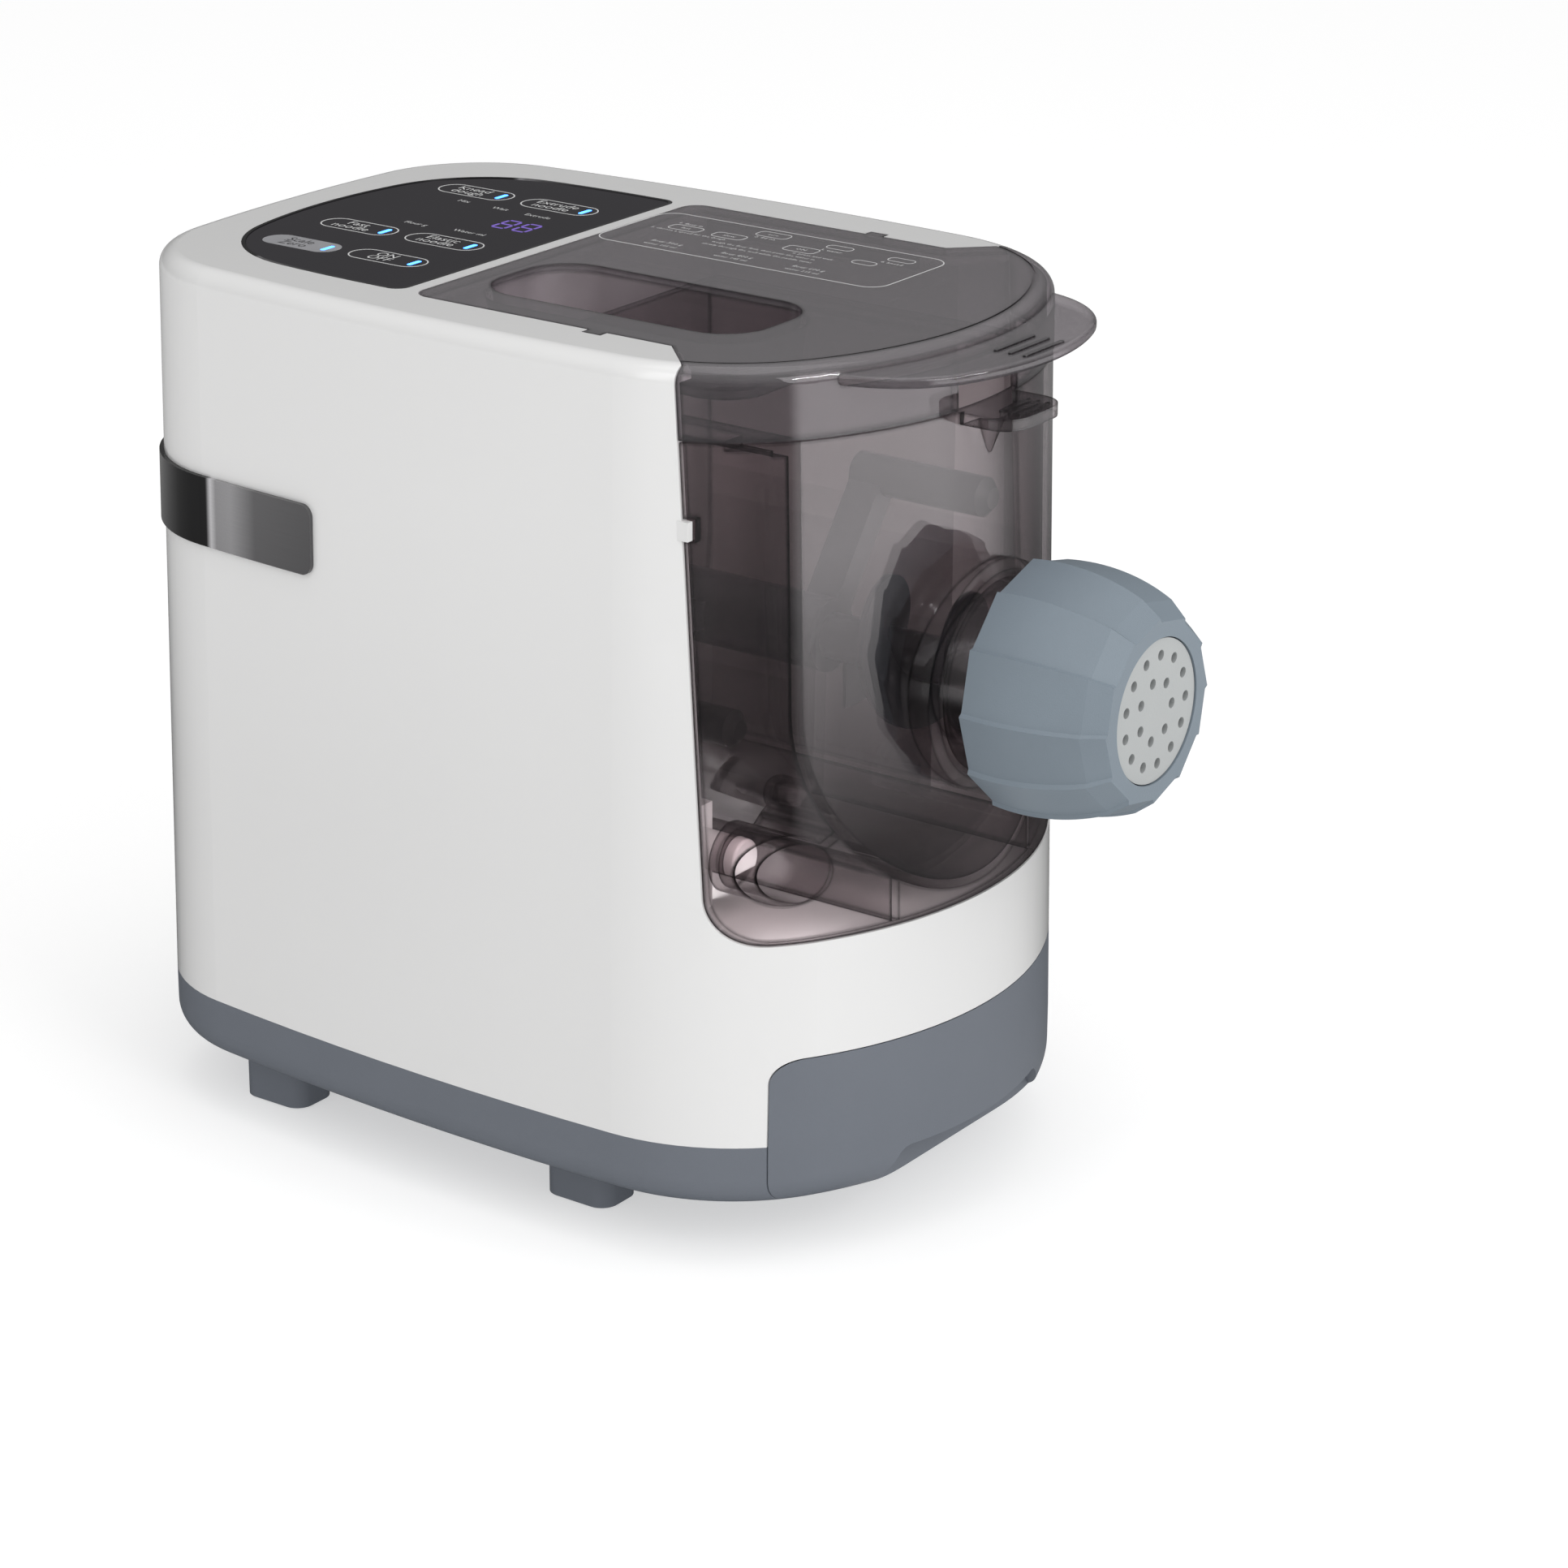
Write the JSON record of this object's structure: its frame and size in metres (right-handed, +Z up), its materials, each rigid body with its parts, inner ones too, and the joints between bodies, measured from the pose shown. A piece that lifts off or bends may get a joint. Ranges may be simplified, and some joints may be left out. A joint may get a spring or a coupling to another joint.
{
  "type": "electric pasta maker",
  "caption": "Countertop pasta machine: white housing with a smoked slide-out mixing chamber, screwed extruding nozzle, lift-off lid, spare-die drawer and geared motor drive",
  "frame": {"origin": "on the table under the middle of the whole footprint", "axes": "+Z up, the nozzle points along -Y, +X to the machine's left as seen from the front"},
  "size_m": [0.203, 0.3515, 0.292],
  "materials": {
    "white_gloss": "glossy moulded housing",
    "grey_matte": "satin grey moulding",
    "nut_grey": "matte grey moulding",
    "smoked": "smoked see-through moulding",
    "dark_inner": "dark inner moulding",
    "white_inner": "unpainted inner moulding",
    "panel_black": "black printed window",
    "bright_trim": "brushed band",
    "die_grey": "light grey moulding",
    "gear_white": "moulded gears",
    "steel": "turned steel",
    "copper_dark": "windings",
    "board_green": "circuit board",
    "alloy": "bare alloy",
    "soft_black": "soft black"
  },
  "bodies": {
    "machine": {"housing_shell": "white_gloss", "base_pan": "grey_matte", "bay_liner": "white_inner", "guide_pins": "white_inner", "rear_trim_band": "bright_trim", "cord_gland": "soft_black", "panel_bezel": "bright_trim", "panel_glass": "panel_black", "key_board": "board_green", "display_module": "dark_inner", "main_board": "board_green", "foot_front_left": "grey_matte", "foot_front_right": "grey_matte", "foot_rear_left": "grey_matte", "foot_rear_right": "grey_matte", "load_cell_front_left": "alloy", "load_cell_front_right": "alloy", "load_cell_rear_left": "alloy", "load_cell_rear_right": "alloy", "foot_pads": "soft_black", "drawer_rails": "white_inner", "drawer_sleeve": "white_inner", "gearbox_case": "dark_inner", "gearbox_cover": "dark_inner", "gear_axles": "steel", "shaft_bearing_front": "steel", "shaft_bearing_rear": "steel", "shaft_seal": "soft_black", "motor_can": "steel", "motor_end_bell": "alloy", "motor_bearing_front": "steel", "motor_bearing_rear": "steel", "motor_stator": "steel", "lid_switch": "dark_inner"},
    "drawer": {"drawer_front": "grey_matte", "drawer_tray": "white_inner", "spare_die_1": "die_grey", "spare_die_2": "die_grey", "spare_die_3": "die_grey", "spare_die_4": "die_grey"},
    "chamber": {"mixing_chamber": "smoked", "chamber_bushing": "die_grey"},
    "rotor": {"mixing_paddle": "dark_inner", "auger": "dark_inner"},
    "die_seat": {"die": "die_grey"},
    "nut": {"locking_nut": "nut_grey"},
    "lid_body": {"lid": "smoked"},
    "plunger": {"switch_plunger": "white_inner"},
    "output": {"output_gear": "gear_white", "drive_shaft": "steel"},
    "second": {"gear_second": "gear_white"},
    "first": {"gear_first": "gear_white"},
    "motor_rotor": {"armature": "copper_dark", "motor_pinion": "steel", "cooling_fan": "dark_inner"}
  },
  "joints": [
    {"name": "drawer_slide", "type": "slide", "parent": "machine", "child": "drawer", "axis": [0, -1, 0], "range_m": [0, 0.12]},
    {"name": "chamber_slide", "type": "slide", "parent": "machine", "child": "chamber", "axis": [0, -1, 0], "range_m": [0, 0.2]},
    {"name": "lid_lift", "type": "slide", "parent": "machine", "child": "lid_body", "axis": [0, 0, 1], "range_m": [0, 0.08]},
    {"name": "plunger_slide", "type": "slide", "parent": "machine", "child": "plunger", "axis": [0, 0, 1], "range_m": [0, 0.003]},
    {"name": "motor_spin", "type": "hinge", "parent": "machine", "child": "motor_rotor", "pos_m": [0, 0, 0.08901], "axis": [0, -1, 0], "continuous": true},
    {"name": "first_spin", "type": "hinge", "parent": "machine", "child": "first", "pos_m": [0.0078, 0, 0.12056], "axis": [0, -1, 0], "continuous": true},
    {"name": "second_spin", "type": "hinge", "parent": "machine", "child": "second", "pos_m": [-0.024, 0, 0.14043], "axis": [0, -1, 0], "continuous": true},
    {"name": "output_spin", "type": "hinge", "parent": "machine", "child": "output", "pos_m": [0, 0, 0.182], "axis": [0, -1, 0], "continuous": true},
    {"name": "rotor_spin", "type": "hinge", "parent": "chamber", "child": "rotor", "pos_m": [0, 0, 0.182], "axis": [0, -1, 0], "continuous": true},
    {"name": "die_slide", "type": "slide", "parent": "chamber", "child": "die_seat", "axis": [0, -1, 0], "range_m": [0, 0.012]},
    {"name": "nut_turn", "type": "hinge", "parent": "die_seat", "child": "nut", "pos_m": [0, -0.15, 0.182], "axis": [0, -1, 0], "range_deg": [0, 720]}
  ],
  "couplings": [
    {"joint": "first_spin", "follows": "motor_spin", "ratio": -0.3},
    {"joint": "second_spin", "follows": "motor_spin", "ratio": 0.094737},
    {"joint": "output_spin", "follows": "motor_spin", "ratio": -0.031579},
    {"joint": "rotor_spin", "follows": "motor_spin", "ratio": -0.031579},
    {"joint": "plunger_slide", "follows": "lid_lift", "ratio": 0.0375},
    {"joint": "die_slide", "follows": "nut_turn", "m_per_rad": 0.00095493}
  ]
}
